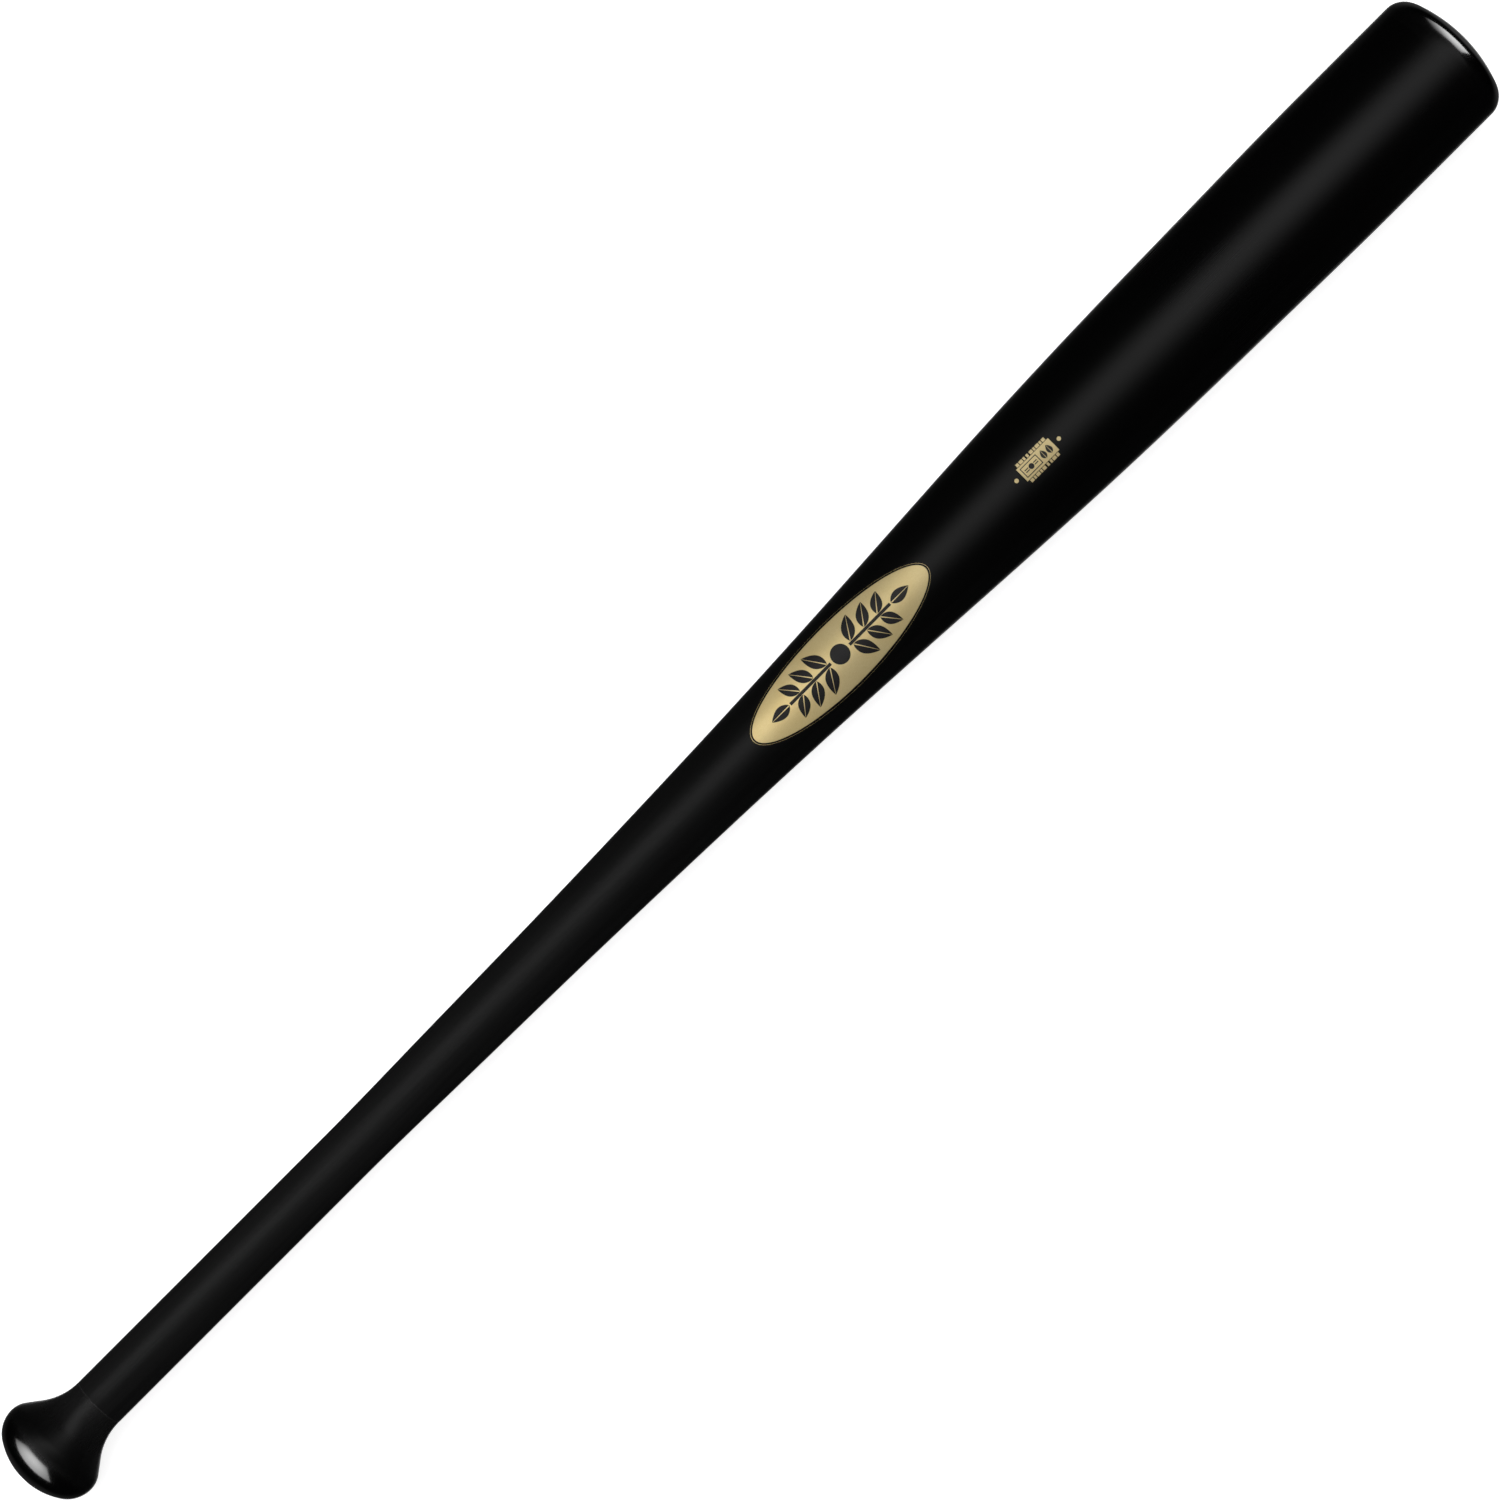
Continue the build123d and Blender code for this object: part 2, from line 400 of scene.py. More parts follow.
def core_outline():
    """The foam core, with its bore for the rod at one end and for the block's spigot at the other."""
    rod_end = TAPER_START + ROD_SPIGOT_LENGTH + GLUE_GAP
    block_end = BLOCK_JOINT - SPIGOT_LENGTH - GLUE_GAP
    skin = layer(TAPER_START, BLOCK_JOINT, CORE_DEPTH)
    bores = [
        (BLOCK_JOINT, SPIGOT_R),
        (block_end, SPIGOT_R),
        (block_end, 0.0),
        (rod_end, 0.0),
        (rod_end, ROD_SPIGOT_R),
        (TAPER_START, ROD_SPIGOT_R),
    ]
    return skin + bores


def shell_outline(top, bottom, groove=False):
    """A full-length layer of the bat between two depths, with or without a groove at the knob's joint."""
    outer = layer(KNOB_JOINT, BLOCK_JOINT, top)
    inner = layer(KNOB_JOINT, BLOCK_JOINT, bottom)
    if groove:
        outer = eased(outer, True, False)
        start = inner[0]
        inner[0:1] = [start, (start[0] + JOINT_WIDTH / 2, start[1]), (start[0] + JOINT_WIDTH, start[1])]
    return outer + inner[::-1]


# ---------------------------------------------------------------- pieces laid on the surface


def on_skin(centre, turn, u, v, lift):
    """A point of a label: u along the bat, v across it, lift above the surface, in millimetres."""
    x = centre + u
    r = skin_radius(x) + lift
    height = sqrt(r * r - v * v)
    return Vector((x, v * cos(turn) + height * sin(turn), height * cos(turn) - v * sin(turn)))


def skin_normal(centre, u, point):
    """Outward normal of the surface at a point of a label, with the slope taken over a millimetre."""
    slope = skin_radius(centre + u + 0.5) - skin_radius(centre + u - 0.5)
    radial = Vector((0.0, point.y, point.z)).normalized()
    return (radial - Vector((slope, 0.0, 0.0))).normalized()


def cut_flat(outlines, cell):
    """Fills flat closed outlines and cuts them along a square grid, so that they can bend."""
    flat = bmesh.new()
    for outline in outlines:
        flat.faces.new([flat.verts.new((u, v, 0.0)) for u, v in outline])
    us = [v.co.x for v in flat.verts]
    vs = [v.co.y for v in flat.verts]
    for axis, low, high in ((0, min(us), max(us)), (1, min(vs), max(vs))):
        normal = Vector((1.0, 0.0, 0.0)) if axis == 0 else Vector((0.0, 1.0, 0.0))
        for k in range(int(low / cell) - 1, int(high / cell) + 2):
            offset = (k + GRID_SHIFT) * cell
            if low < offset < high:
                bmesh.ops.bisect_plane(
                    flat,
                    geom=flat.verts[:] + flat.edges[:] + flat.faces[:],
                    dist=GRID_MERGE,
                    plane_co=normal * offset,
                    plane_no=normal,
                )
    bmesh.ops.recalc_face_normals(flat, faces=flat.faces[:])
    for face in flat.faces:
        face.normal_update()
        if face.normal.z < 0:
            face.normal_flip()
    return flat


def laid(name, outlines, centre, turn, low, high, cell=1.0):
    """Thin plates with the given flat outlines, bent to the surface between two heights above it."""
    flat = cut_flat(outlines, cell)
    flat.verts.index_update()
    spots = [(v.co.x, v.co.y) for v in flat.verts]
    count = len(spots)
    points = [on_skin(centre, turn, u, v, low) for u, v in spots]
    points += [on_skin(centre, turn, u, v, high) for u, v in spots]
    faces, normals = [], []
    for face in flat.faces:
        ring = [v.index for v in face.verts]
        faces.append([i + count for i in ring])
        normals += [skin_normal(centre, spots[i][0], points[i]) for i in ring]
        faces.append(ring[::-1])
        normals += [-skin_normal(centre, spots[i][0], points[i]) for i in ring[::-1]]
    for edge in flat.edges:
        if not edge.is_boundary:
            continue
        a, b = [v.index for v in edge.verts]
        loop = edge.link_loops[0]
        if loop.vert.index != a:
            a, b = b, a
        face = [a, b, b + count, a + count]
        along = points[b] - points[a]
        out = along.cross(points[a + count] - points[a]).normalized()
        faces.append(face)
        normals += [out] * 4
    flat.free()
    return shaped(name, [tuple(p * MM) for p in points], faces, [tuple(n) for n in normals])


def oval_foil(name, half_length, half_width, centre, turn, low, high, edge, columns=96, rows=28):
    """An oval foil with a softened edge, in even rows of quads."""
    points, faces, spots = [], [], []

    def add(u, v, lift):
        points.append(on_skin(centre, turn, u, v, lift))
        spots.append(u)
        return len(points) - 1

    turns = [-pi / 2 + pi * i / columns for i in range(columns + 1)]
    rims = []
    eased_by = edge * EASED_SHARE
    for inset, lift in ((0.0, low), (0.0, high - edge), (eased_by, high - eased_by), (edge, high)):
        a, b = half_length - inset, half_width - inset
        upper = [add(a * sin(t), b * cos(t), lift) for t in turns]
        lower = [add(a * sin(t), -b * cos(t), lift) for t in turns[1:-1]]
        rims.append(upper + lower[::-1])
    loop = len(rims[0])
    for inner, outer in zip(rims[1:], rims):
        for i in range(loop):
            j = (i + 1) % loop
            faces.append([outer[j], outer[i], inner[i], inner[j]])
    for rim, inset, lift, up in ((rims[-1], edge, high, True), (rims[0], 0.0, low, False)):
        a, b = half_length - inset, half_width - inset
        grid = [[rim[0]] * (rows + 1)]
        for c in range(1, columns):
            reach = b * cos(turns[c])
            column = [rim[c]]
            column += [add(a * sin(turns[c]), reach * (1 - 2 * r / rows), lift) for r in range(1, rows)]
            column.append(rim[loop - c])
            grid.append(column)
        grid.append([rim[columns]] * (rows + 1))
        for left, right in zip(grid, grid[1:]):
            for r in range(rows):
                face = [left[r], left[r + 1], right[r + 1], right[r]]
                face = [p for k, p in enumerate(face) if p not in face[:k]]
                faces.append(face if up else face[::-1])
    return soft_piece(name, points, faces)


def ring_foil(name, half_length, half_width, end_width, side_width, centre, turn, low, high, steps=260):
    """A hairline foil ring, oval, with a rectangular section that is finer along the oval's sides."""
    points, faces = [], []
    for k in range(steps):
        t = 2 * pi * k / steps
        width = side_width + (end_width - side_width) * sin(t) ** 4
        for inset, lift in ((0.0, low), (0.0, high), (width, high), (width, low)):
            a, b = half_length - inset, half_width - inset
            points.append(on_skin(centre, turn, a * sin(t), b * cos(t), lift))
    for k in range(steps):
        here, there = 4 * k, 4 * ((k + 1) % steps)
        for i in range(4):
            j = (i + 1) % 4
            faces.append([here + i, there + i, there + j, here + j])
    return soft_piece(name, points, faces)


def soft_piece(name, points, faces):
    """An object with smooth faces and sharp edges, its normals pointing out."""
    mesh = bpy.data.meshes.new(name)
    mesh.from_pydata([tuple(p * MM) for p in points], [], faces)
    solid = bmesh.new()
    solid.from_mesh(mesh)
    bmesh.ops.recalc_face_normals(solid, faces=solid.faces[:])
    solid.to_mesh(mesh)
    solid.free()
    mesh.shade_smooth()
    mesh.set_sharp_from_angle(angle=FOIL_SMOOTH_UNDER)
    return linked(name, mesh)


# ---------------------------------------------------------------- outlines of the printing


def moved(outline, u, v, angle=0.0, mirror_u=False, mirror_v=False):
    """An outline turned by an angle, moved, and mirrored about either axis."""
    placed = []
    for a, b in outline:
        p = u + a * cos(angle) - b * sin(angle)
        q = v + a * sin(angle) + b * cos(angle)
        placed.append((-p if mirror_u else p, -q if mirror_v else q))
    return placed


def leaf_halves(length, width, rib=0.5, steps=18):
    """The two halves of a pointed leaf along +u, parted by a rib that narrows to the tip."""
    halves = []
    for side in (1, -1):
        outer, inner = [], []
        for k in range(steps + 1):
            t = k / steps
            swell = sin(pi * t ** LEAF_WIDEST) ** LEAF_FULLNESS
            outer.append((length * t, side * (width / 2) * swell))
        for k in range(1, steps):
            t = k / steps
            gap = min(rib / 2 * (1 - t * RIB_NARROWING), abs(outer[k][1]) * RIB_MOST)
            inner.append((length * t, side * gap))
        halves.append(outer + inner[::-1])
    return halves


def disc(radius, u=0.0, v=0.0, steps=40):
    """A round outline."""
    turns = [2 * pi * k / steps for k in range(steps)]
    return [(u + radius * cos(t), v + radius * sin(t)) for t in turns]


def bar(u0, v0, u1, v1):
    """A rectangular outline between two corners."""
    return [(u0, v0), (u1, v0), (u1, v1), (u0, v1)]


def sprig():
    """A bold laurel that reads the same from both ends."""
    shapes = [disc(BERRY_R)]
    half_stem = STEM_WIDTH / 2
    for mirror in (False, True):
        stem = bar(STEM_START, -half_stem, STEM_END, half_stem)
        shapes.append([(-u, v) for u, v in stem][::-1] if mirror else stem)
        for base, length, width, angle in LEAF_PAIRS:
            for half in leaf_halves(length, width):
                for flip in (False, True):
                    shapes.append(moved(half, base, half_stem + LEAF_GAP, radians(angle), mirror, flip))
        for half in leaf_halves(*END_LEAF):
            shapes.append(moved(half, STEM_END + END_LEAF_GAP, 0.0, 0.0, mirror))
    return shapes


def spec_block():
    """The small label's foil: a block, with a row of bars along each side."""
    bars = [bar(-SPEC_HALF_LENGTH, -BLOCK_HALF_WIDTH, SPEC_HALF_LENGTH, BLOCK_HALF_WIDTH)]
    for u0, u1 in ROW_BARS:
        bars.append(bar(u0, BLOCK_HALF_WIDTH + ROW_GAP, u1, SPEC_HALF_WIDTH))
        bars.append(bar(-u1, -SPEC_HALF_WIDTH, -u0, -BLOCK_HALF_WIDTH - ROW_GAP))
    return bars


def framed_cell():
    """The small label's printed frame, with a dot in it between two pairs of bars."""
    side = CELL_HALF_WIDTH - CELL_LINE
    shapes = [
        bar(CELL_LEFT, -CELL_HALF_WIDTH, CELL_RIGHT, -side),
        bar(CELL_LEFT, side, CELL_RIGHT, CELL_HALF_WIDTH),
        bar(CELL_LEFT, -side, CELL_LEFT + CELL_LINE, side),
        bar(CELL_RIGHT - CELL_LINE, -side, CELL_RIGHT, side),
        disc(CELL_DOT_R, CELL_CENTRE),
    ]
    for shift in (-CELL_BAR_SPACING, CELL_BAR_SPACING):
        u0 = CELL_CENTRE + shift - CELL_BAR_HALF_LENGTH
        u1 = CELL_CENTRE + shift + CELL_BAR_HALF_LENGTH
        shapes.append(bar(u0, CELL_BAR_INNER, u1, CELL_BAR_OUTER))
        shapes.append(bar(u0, -CELL_BAR_OUTER, u1, -CELL_BAR_INNER))
    return shapes


def badge():
    """The small label's two printed leaves, upright side by side."""
    return [moved(half, u, BADGE_FOOT, pi / 2) for u in BADGE_PLACES for half in leaf_halves(*BADGE_LEAF)]


# ---------------------------------------------------------------- materials


class Nodes:
    """Short ways to add and join the nodes of one material."""

    def __init__(self, name):
        self.material = bpy.data.materials.new(name)
        self.material.use_nodes = True
        self.tree = self.material.node_tree
        self.tree.nodes.clear()
        self.shader = self.tree.nodes.new("ShaderNodeBsdfPrincipled")
        output = self.tree.nodes.new("ShaderNodeOutputMaterial")
        self.tree.links.new(self.shader.outputs["BSDF"], output.inputs["Surface"])

    def put(self, socket, value):
        """Sets an input socket from a number, a colour or another node's output."""
        if hasattr(value, "is_output"):
            self.tree.links.new(value, socket)
        else:
            socket.default_value = value

    def set(self, **values):
        for key, value in values.items():
            self.put(self.shader.inputs[key.replace("_", " ")], value)

    def place(self, scale=(1.0, 1.0, 1.0)):
        """Object coordinates, in metres, stretched by a scale along each axis."""
        source = self.tree.nodes.new("ShaderNodeTexCoord")
        stretch = self.tree.nodes.new("ShaderNodeMapping")
        self.tree.links.new(source.outputs["Object"], stretch.inputs["Vector"])
        stretch.inputs["Scale"].default_value = scale
        return stretch.outputs["Vector"]

    def axes(self):
        """The X, Y and Z of object coordinates, in metres; X is the distance from the knob's end."""
        source = self.tree.nodes.new("ShaderNodeTexCoord")
        split = self.tree.nodes.new("ShaderNodeSeparateXYZ")
        self.tree.links.new(source.outputs["Object"], split.inputs["Vector"])
        return split.outputs

    def noise(self, scale, vector, detail=4.0, roughness=0.5):
        node = self.tree.nodes.new("ShaderNodeTexNoise")
        node.inputs["Scale"].default_value = scale
        node.inputs["Detail"].default_value = detail
        node.inputs["Roughness"].default_value = roughness
        self.tree.links.new(vector, node.inputs["Vector"])
        return node.outputs["Fac"]

    def math(self, operation, a, b=0.0, c=0.0):
        node = self.tree.nodes.new("ShaderNodeMath")
        node.operation = operation
        for socket, value in zip(node.inputs, (a, b, c)):
            self.put(socket, value)
        return node.outputs["Value"]

    def fit(self, value, low, high, out_low, out_high, smooth=True):
        node = self.tree.nodes.new("ShaderNodeMapRange")
        node.interpolation_type = "SMOOTHSTEP" if smooth else "LINEAR"
        for key, amount in (("Value", value), ("From Min", low), ("From Max", high)):
            self.put(node.inputs[key], amount)
        self.put(node.inputs["To Min"], out_low)
        self.put(node.inputs["To Max"], out_high)
        return node.outputs["Result"]

    def profile(self, x, pairs):
        """A value that runs smoothly through (x, value) pairs."""
        level = pairs[0][1]
        for (x0, v0), (x1, v1) in zip(pairs, pairs[1:]):
            level = self.math("ADD", level, self.fit(x, x0, x1, 0.0, v1 - v0))
        return level

    def blend(self, amount, a, b):
        node = self.tree.nodes.new("ShaderNodeMix")
        node.data_type = "RGBA"
        self.put(node.inputs["Factor"], amount)
        self.put(node.inputs["A"], a)
        self.put(node.inputs["B"], b)
        return node.outputs["Result"]

    def bump(self, height, strength, distance, under=None):
        node = self.tree.nodes.new("ShaderNodeBump")
        node.inputs["Strength"].default_value = strength
        node.inputs["Distance"].default_value = distance
        self.tree.links.new(height, node.inputs["Height"])
        if under is not None:
            self.tree.links.new(under, node.inputs["Normal"])
        return node.outputs["Normal"]


def lacquer(name, grain_scale, roughness_at, lift_at):
    """Black lacquer over wood: near black, with the grain just showing in colour and gloss.

    roughness_at and lift_at list (distance along the bat in metres, value) pairs, smoothly joined;
    the lift is how far the black is from full black.
    """
    n = Nodes(name)
    x = n.axes()["X"]
    grain = n.noise(1.0, n.place(grain_scale), 5.0, 0.62)
    cloud = n.noise(9.0, n.place(), 3.0, 0.5)
    peel = n.noise(420.0, n.place(), 2.0, 0.4)
    lift = n.profile(x, lift_at)
    shade = n.math("MULTIPLY", lift, n.fit(grain, 0.3, 0.75, 0.78, 1.3, False))
    tint = n.tree.nodes.new("ShaderNodeCombineColor")
    n.put(tint.inputs["Red"], shade)
    n.put(tint.inputs["Green"], n.math("MULTIPLY", shade, 0.99))
    n.put(tint.inputs["Blue"], shade)
    clouding = n.fit(cloud, 0.3, 0.7, -0.025, 0.025, False)
    streaks = n.fit(grain, 0.3, 0.7, -0.015, 0.015, False)
    rough = n.math("ADD", n.profile(x, roughness_at), n.math("ADD", clouding, streaks))
    under = n.bump(peel, 0.12, 0.00002)
    over = n.bump(grain, 0.12, 0.00003, under)
    n.set(Base_Color=tint.outputs["Color"], Roughness=rough, Normal=over, IOR=1.45)
    return n.material


def gold(name):
    """Satin pale gold foil with a fine brushed texture and slow random changes of tone, and painted shade
    that darkens it up the bat.
    """
    n = Nodes(name)
    brushed = n.noise(1.0, n.place((900.0, 6000.0, 6000.0)), 3.0, 0.6)
    cloud = n.noise(60.0, n.place(), 3.0, 0.55)
    speck = n.noise(2600.0, n.place(), 2.0, 0.5)
    pale = n.blend(n.fit(cloud, 0.3, 0.7, 0.0, 1.0), (0.95, 0.75, 0.35, 1.0), (1.0, 0.81, 0.41, 1.0))
    colour = n.blend(n.fit(brushed, 0.35, 0.75, 0.0, 0.35), pale, (0.78, 0.58, 0.24, 1.0))
    # Painted shade: the foil's colour darkens towards the barrel end of the oval, and most on the small
    # label, by a profile along X
    colour = n.blend(n.profile(n.axes()["X"], FOIL_PAINTED_SHADE), colour, (0.33, 0.30, 0.20, 1.0))
    satin = n.fit(brushed, 0.3, 0.7, 0.36, 0.46, False)
    rough = n.math("ADD", satin, n.fit(speck, 0.4, 0.8, 0.0, 0.06, False))
    normal = n.bump(brushed, 0.25, 0.00001)
    n.set(Base_Color=colour, Roughness=rough, Metallic=0.8, Normal=normal)
    return n.material


def ink(name):
    """Black print, a little uneven in gloss."""
    n = Nodes(name)
    grain = n.noise(3000.0, n.place(), 3.0, 0.5)
    mottle = n.fit(grain, 0.3, 0.7, 0.0, 1.0)
    colour = n.blend(mottle, (0.006, 0.006, 0.007, 1.0), (0.013, 0.012, 0.012, 1.0))
    rough = n.fit(grain, 0.3, 0.7, 0.42, 0.56, False)
    n.set(Base_Color=colour, Roughness=rough, Normal=n.bump(grain, 0.2, 0.00001))
    return n.material


def bare_wood(name):
    """Straight-grained bare hardwood for the rod."""
    n = Nodes(name)
    fibre = n.noise(1.0, n.place((25.0, 900.0, 900.0)), 6.0, 0.6)
    band = n.noise(1.0, n.place((5.0, 220.0, 220.0)), 3.0, 0.5)
    colour = n.blend(n.fit(band, 0.35, 0.65, 0.0, 1.0), (0.50, 0.31, 0.15, 1.0), (0.66, 0.45, 0.24, 1.0))
    colour = n.blend(n.fit(fibre, 0.5, 0.75, 0.0, 0.6), colour, (0.33, 0.19, 0.09, 1.0))
    rough = n.fit(fibre, 0.3, 0.7, 0.5, 0.68, False)
    n.set(Base_Color=colour, Roughness=rough, Normal=n.bump(fibre, 0.4, 0.0001))
    return n.material


def foam(name):
    """Rigid closed-cell foam, with its cut cells showing as fine pits."""
    n = Nodes(name)
    cells = n.tree.nodes.new("ShaderNodeTexVoronoi")
    cells.inputs["Scale"].default_value = 1400.0
    n.tree.links.new(n.place(), cells.inputs["Vector"])
    cloud = n.noise(70.0, n.place(), 3.0, 0.5)
    colour = n.blend(n.fit(cloud, 0.3, 0.7, 0.0, 1.0), (0.66, 0.53, 0.30, 1.0), (0.76, 0.65, 0.42, 1.0))
    # Each cell is darker towards its middle: painted shade in the pits, which the bump dents as well
    colour = n.blend(n.fit(cells.outputs["Distance"], 0.0, 0.5, 0.45, 0.0), colour, (0.42, 0.30, 0.14, 1.0))
    n.set(Base_Color=colour, Roughness=0.85, Normal=n.bump(cells.outputs["Distance"], 0.5, 0.0002))
    return n.material


def fibre_cloth(name):
    """Resin-soaked cloth: two sets of strands crossing at a slant round the bat."""
    n = Nodes(name)
    axes = n.axes()
    turn = n.math("ARCTAN2", axes["Y"], axes["Z"])
    strands = []
    for slant in (36.0, -36.0):
        phase = n.math("ADD", n.math("MULTIPLY", axes["X"], 1500.0), n.math("MULTIPLY", turn, slant))
        strands.append(n.math("ABSOLUTE", n.math("SINE", phase)))
    weave = n.math("MAXIMUM", strands[0], strands[1])
    cloud = n.noise(120.0, n.place(), 3.0, 0.5)
    colour = n.blend(n.fit(weave, 0.5, 1.0, 0.0, 1.0), (0.30, 0.23, 0.08, 1.0), (0.62, 0.53, 0.27, 1.0))
    colour = n.blend(n.fit(cloud, 0.4, 0.7, 0.0, 0.35), colour, (0.42, 0.33, 0.13, 1.0))
    rough = n.fit(cloud, 0.3, 0.7, 0.28, 0.42, False)
    n.set(Base_Color=colour, Roughness=rough, Normal=n.bump(weave, 0.5, 0.0002))
    return n.material


# How the lacquer and the foil change along the bat, as (metres from the knob's end, value)
KNOB_GLOSS = [(0.0, 0.13), (0.012, 0.15), (0.017, 0.32), (0.021, 0.36), (0.03, 0.27)]
# Both lift profiles rise to a narrow lighter ring where the knob meets the staves: a painted highlight on
# the joint
KNOB_LIFT = [(0.0, 0.0003), (0.014, 0.0004), (0.04, 0.006), (0.0438, 0.006), (0.0442, 0.014)]
STAVE_GLOSS = [(0.045, 0.36), (0.2, 0.48), (0.56, 0.34), (0.8, 0.26)]
# Its first two points are the staves' half of the painted highlight ring at the knob's joint
STAVE_LIFT = [(0.0443, 0.014), (0.0447, 0.006), (0.15, 0.006), (0.64, 0.0003)]
BLOCK_GLOSS = [(0.8505, 0.26), (0.8555, 0.12)]
BLOCK_LIFT = [(BLOCK_JOINT * MM, 0.0003)]
# The foil's darkening along the bat is painted shade, not a change in the foil itself
FOIL_PAINTED_SHADE = [(0.455, 0.0), (0.495, 0.24), (0.53, 0.28), (0.59, 0.45)]

finishes = {
    "knob_maple": lacquer("knob_lacquer", (300.0, 1500.0, 350.0), KNOB_GLOSS, KNOB_LIFT),
    "stave_maple": lacquer("stave_lacquer", (14.0, 900.0, 900.0), STAVE_GLOSS, STAVE_LIFT),
    "block_maple": lacquer("block_lacquer", (60.0, 1100.0, 420.0), BLOCK_GLOSS, BLOCK_LIFT),
    "core_rod": bare_wood("bare_wood"),
    "core_foam": foam("rigid_foam"),
    "fibre_sleeve": fibre_cloth("resin_cloth"),
    "gold_foil": gold("pale_gold_foil"),
    "label_ink": ink("black_print"),
}


def fitted(piece, slot, *nodes):
    """Puts a piece in the frame in place of CAD nodes, with the finish of its slot."""
    piece.data.materials.append(finishes[slot])
    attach(piece, "root")
    if nodes:
        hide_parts(*nodes)
    return piece


# ---------------------------------------------------------------- the pieces

knob = fitted(turned("turned_knob", knob_outline()), "knob_maple", "knob")
end_block = fitted(turned("crowned_end_block", block_outline()), "block_maple", "barrel_end_block")
fitted(turned("handle_rod", rod_outline()), "core_rod", "handle_core_rod")
fitted(turned("foam_core", core_outline()), "core_foam", "barrel_foam_core")
inner_sleeve = turned("inner_sleeve", shell_outline(INNER_SLEEVE_DEPTH, CORE_DEPTH))
outer_sleeve = turned("outer_sleeve", shell_outline(STAVE_THICKNESS, INNER_SLEEVE_DEPTH))
fitted(inner_sleeve, "fibre_sleeve", "inner_fibre_sleeve")
fitted(outer_sleeve, "fibre_sleeve", "outer_fibre_sleeve")

for index in range(STAVE_COUNT):
    number = f"{index + 1:02d}"
    first = -index * STEPS_PER_STAVE - STEPS_PER_STAVE // 2
    outline = shell_outline(0.0, STAVE_THICKNESS, True)
    stave = turned(f"stave_{number}", outline, first, STEPS_PER_STAVE)
    fitted(stave, "stave_maple", f"maple_stave_{number}")

on_oval = (OVAL_CENTRE, OVAL_TURN)
on_spec = (SPEC_CENTRE, SPEC_TURN)

oval = oval_foil("oval_foil", OVAL_HALF_LENGTH, OVAL_HALF_WIDTH, *on_oval, 0.0, FOIL, FOIL_EDGE)
fitted(oval, "gold_foil", "oval_label")
hairline = ring_foil(
    "oval_hairline",
    OVAL_HALF_LENGTH + HAIRLINE_GAP,
    OVAL_HALF_WIDTH + HAIRLINE_GAP,
    HAIRLINE_END_WIDTH,
    HAIRLINE_SIDE_WIDTH,
    *on_oval,
    0.0,
    HAIRLINE_HEIGHT,
)
fitted(hairline, "gold_foil")
fitted(laid("oval_print", sprig(), *on_oval, FOIL, FOIL + INK), "label_ink")

spec = laid("spec_foil", spec_block(), *on_spec, 0.0, FOIL)
fitted(spec, "gold_foil", "spec_label")
fitted(laid("spec_print", framed_cell() + badge(), *on_spec, FOIL, FOIL + INK), "label_ink")

dot_pair = [disc(DOT_R, u) for u in (-DOT_SPACING / 2, DOT_SPACING / 2)]
dots = laid("foil_dots", dot_pair, *on_spec, 0.0, FOIL, DOT_CELL)
fitted(dots, "gold_foil", "spec_dots")

# ---------------------------------------------------------------- floor, light and camera

WHITE = (1.0, 1.0, 1.0, 1.0)
FLOOR_SIZE = 14.0
FLOOR_GREY = (0.5, 0.5, 0.5, 1.0)
FLOOR_GLOW = 0.85
SWELL_START = 600.0  # the bat touches the floor somewhere past here

# Strength of the world's light in gloss, by how far down a reflection looks (the Z of its direction)
EDGE_LIGHT = 0.014
EDGE_FROM = -0.45
EDGE_FULL = -0.85
EDGE_LEAN = 1.1
END_TURN = 0.15  # the X of the direction past which a reflection is one off a flare or a rounded end
BARREL_END_GAIN = 18.0
KNOB_END_GAIN = -5.0
DIM_LIGHT = 0.001
TABLE_LIGHT = 0.8
TABLE_FROM = -0.9
TABLE_FULL = -1.0
SKY_LIGHT = 0.05

SUN_LIGHT = 1.0
SUN_ANGLE = radians(50.0)
SUN_TILT = radians(20.0)

CAMERA_PLACE = (0.4359, 0.0002, 2.3)
CAMERA_TURN = radians(45.01)
LENS = 129.9
SENSOR = 36.0
VIEW_END = 60.0


def slope_to(x, r):
    """Slope of the line from the knob's widest point to a point of the outline."""
    return (r - KNOB_R) / (x - widest_x)


# The bat lies on its knob and the widest part of its barrel, so the floor tilts a little against its axis
floor_slope = max(slope_to(x, skin_radius(x)) for x in stations(SWELL_START, corner_x))

bpy.ops.mesh.primitive_plane_add(size=FLOOR_SIZE)
floor = bpy.context.object
floor.name = "floor"
floor.rotation_euler = (0.0, atan(floor_slope), 0.0)
floor.location = (widest_x * MM, 0.0, -KNOB_R * MM)
floor.visible_glossy = False
floor.visible_diffuse = False
pale = Nodes("pale_floor")
pale.set(Base_Color=FLOOR_GREY, Roughness=0.9, Emission_Color=WHITE, Emission_Strength=FLOOR_GLOW)
floor.data.materials.append(pale.material)


def math_node(tree, operation, a, b=0.0):
    """A maths node in a world or light tree, from numbers or other nodes' outputs."""
    node = tree.nodes.new("ShaderNodeMath")
    node.operation = operation
    for socket, value in zip(node.inputs, (a, b)):
        if hasattr(value, "is_output"):
            tree.links.new(value, socket)
        else:
            socket.default_value = value
    return node.outputs[0]


def ramp_node(tree, value, start, end, level_start, level_end):
    """A smooth change of level as a value goes from start to end."""
    node = tree.nodes.new("ShaderNodeMapRange")
    node.interpolation_type = "SMOOTHSTEP"
    tree.links.new(value, node.inputs["Value"])
    limits = {"From Min": start, "From Max": end, "To Min": level_start, "To Max": level_end}
    for key, limit in limits.items():
        node.inputs[key].default_value = limit
    return node.outputs["Result"]


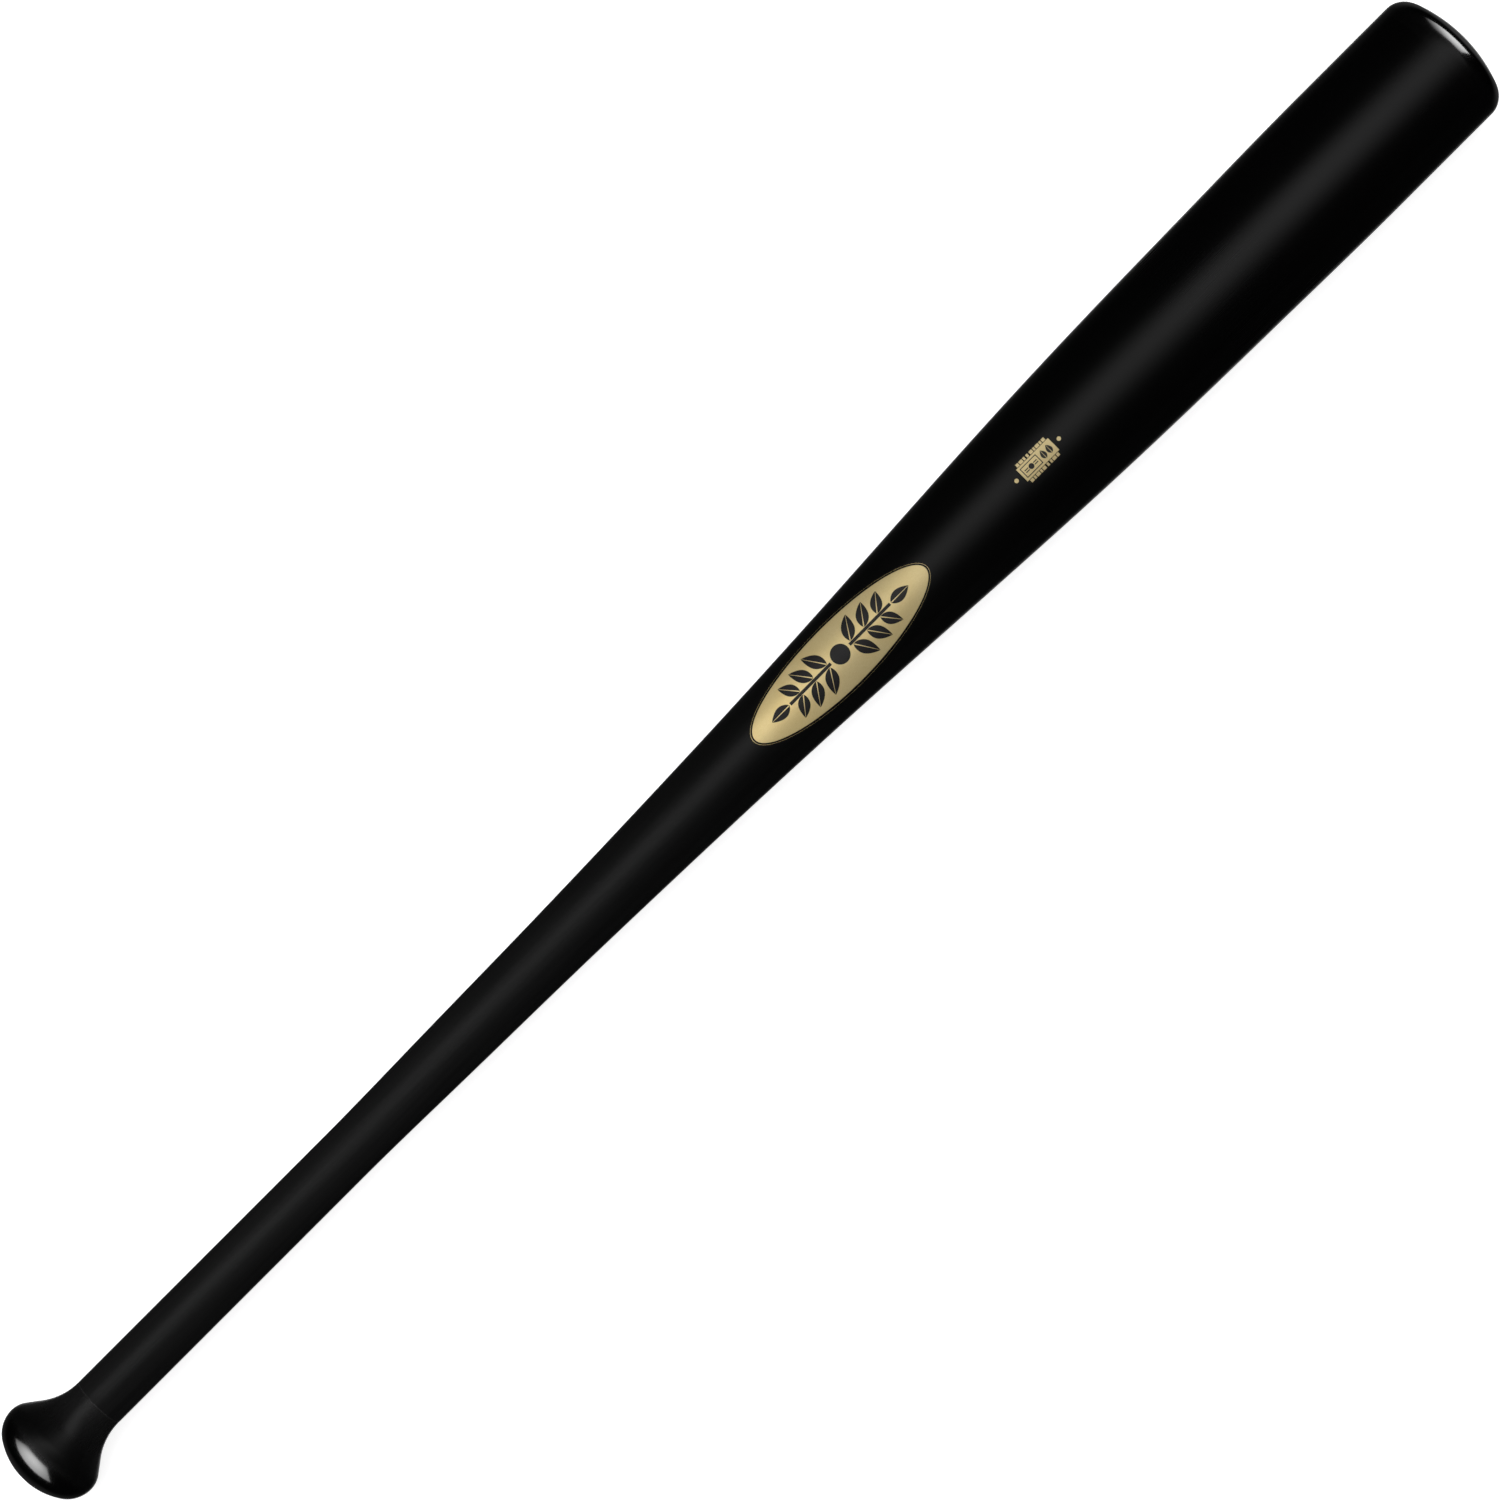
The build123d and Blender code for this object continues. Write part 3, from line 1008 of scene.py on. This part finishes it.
def studio_world():
    """A world that is white to the eye and dim elsewhere.

    Matt surfaces get a little light from above. Gloss sees only light off the table: a faint one
    at a slant, which edges the bat, more on its +Y side and at its ends, and a strong one from
    straight below.
    """
    world = bpy.data.worlds.new("studio")
    world.use_nodes = True
    tree = world.node_tree
    background = tree.nodes["Background"]
    path = tree.nodes.new("ShaderNodeLightPath")
    outlook = tree.nodes.new("ShaderNodeTexCoord")
    split = tree.nodes.new("ShaderNodeSeparateXYZ")
    tree.links.new(outlook.outputs["Generated"], split.inputs["Vector"])
    x, y, z = (split.outputs[axis] for axis in "XYZ")

    edge = ramp_node(tree, z, EDGE_FROM, EDGE_FULL, 0.0, EDGE_LIGHT)
    side = math_node(tree, "MULTIPLY", y, EDGE_LEAN)
    far_end = math_node(tree, "MULTIPLY", math_node(tree, "SUBTRACT", x, END_TURN), BARREL_END_GAIN)
    near_end = math_node(tree, "MULTIPLY", math_node(tree, "ADD", x, END_TURN), KNOB_END_GAIN)
    ends = math_node(tree, "MAXIMUM", math_node(tree, "MAXIMUM", far_end, near_end), 0.0)
    lean = math_node(tree, "ADD", math_node(tree, "ADD", 1.0, side), ends)
    table = ramp_node(tree, z, TABLE_FROM, TABLE_FULL, DIM_LIGHT, TABLE_LIGHT)
    gloss_level = math_node(tree, "ADD", math_node(tree, "MULTIPLY", edge, lean), table)
    matt_level = math_node(tree, "MULTIPLY", math_node(tree, "GREATER_THAN", z, 0.0), SKY_LIGHT)

    strength = 1.0
    for ray, wanted in (("Is Diffuse Ray", matt_level), ("Is Glossy Ray", gloss_level)):
        seen = path.outputs[ray]
        others = math_node(tree, "MULTIPLY", math_node(tree, "SUBTRACT", 1.0, seen), strength)
        strength = math_node(tree, "ADD", others, math_node(tree, "MULTIPLY", seen, wanted))
    tree.links.new(strength, background.inputs["Strength"])
    background.inputs["Color"].default_value = WHITE
    return world


def softbox(name, centre, across, upward, size, radiance, peak, spread, only=(), matt=True):
    """A rectangular light in metres, brightest at a peak and fading from it over a spread.

    across and upward run along its sides and it shines away from their cross product. Each of
    size, peak (from the centre) and spread is an (across, upward) pair. It lights only the
    pieces in only, if there are any, and no matt surface unless matt is true.
    """
    data = bpy.data.lights.new(name, "AREA")
    data.shape = "RECTANGLE"
    data.size, data.size_y = size
    data.energy = radiance * pi * size[0] * size[1]
    data.use_nodes = True
    tree = data.node_tree
    place = tree.nodes.new("ShaderNodeNewGeometry")
    sides = tree.nodes.new("ShaderNodeSeparateXYZ")
    tree.links.new(place.outputs["Parametric"], sides.inputs["Vector"])
    total = 0.0
    for axis, output in enumerate(("X", "Y")):
        offset = math_node(tree, "SUBTRACT", sides.outputs[output], 0.5 + peak[axis] / size[axis])
        scaled = math_node(tree, "MULTIPLY", offset, size[axis] / spread[axis])
        square = math_node(tree, "MULTIPLY", scaled, scaled)
        total = math_node(tree, "ADD", square, total)
    fade = math_node(tree, "EXPONENT", math_node(tree, "MULTIPLY", total, -0.5))
    tree.links.new(fade, tree.nodes["Emission"].inputs["Strength"])
    across, upward = Vector(across).normalized(), Vector(upward).normalized()
    facing = Matrix((across, upward, across.cross(upward))).transposed()
    lamp = linked(name, data)
    lamp.matrix_world = Matrix.Translation(centre) @ facing.to_4x4()
    lamp.visible_camera = False
    lamp.visible_diffuse = matt
    if only:
        group = bpy.data.collections.new(name + "_subjects")
        for piece in only:
            group.objects.link(piece)
        lamp.light_linking.receiver_collection = group


bpy.context.scene.world = studio_world()

# One wide card hangs over the bat, turned a little against it; the end panels stand past its ends
card_lean = radians(18.3)
along_card = (-cos(card_lean), sin(card_lean), 0.0)
across_card = (sin(card_lean), cos(card_lean), 0.0)
card = ((0.47, 0.23, 0.7), across_card, along_card, (1.9, 2.4))
knob_panel = ((-0.5, 0.205, 0.49), (0, -1, 0), (0, 0, 1), (1.07, 0.76))
barrel_panel = ((1.36, 0.15, 0.18), (0, 1, 0), (0, 0, 1), (0.54, 0.38))
gilded = (oval, hairline, spec, dots)
softbox("overhead", *card, radiance=0.62, peak=(-0.02, -0.4), spread=(0.21, 0.9))
softbox("label_fill", *card, radiance=4.2, peak=(-0.14, 0.1), spread=(0.36, 0.8), only=gilded)
softbox("knob_end", *knob_panel, 14.8, (0.065, 0.01), (0.36, 0.33), only=(knob,), matt=False)
softbox("barrel_end", *barrel_panel, 14.0, (-0.12, -0.07), (0.18, 0.2), only=(end_block,), matt=False)

daylight = bpy.data.lights.new("daylight", "SUN")
daylight.energy = SUN_LIGHT * pi
daylight.angle = SUN_ANGLE
window = linked("daylight", daylight)
window.rotation_euler = (-SUN_TILT, 0.0, 0.0)
window.visible_glossy = False

camera = linked("camera", bpy.data.cameras.new("camera"))
camera.location = CAMERA_PLACE
camera.rotation_euler = (0.0, 0.0, -CAMERA_TURN)
camera.data.lens = LENS
camera.data.sensor_width = SENSOR
camera.data.clip_end = VIEW_END
bpy.context.scene.camera = camera

scene = bpy.context.scene
scene.view_settings.view_transform = "Standard"
scene.view_settings.look = "None"
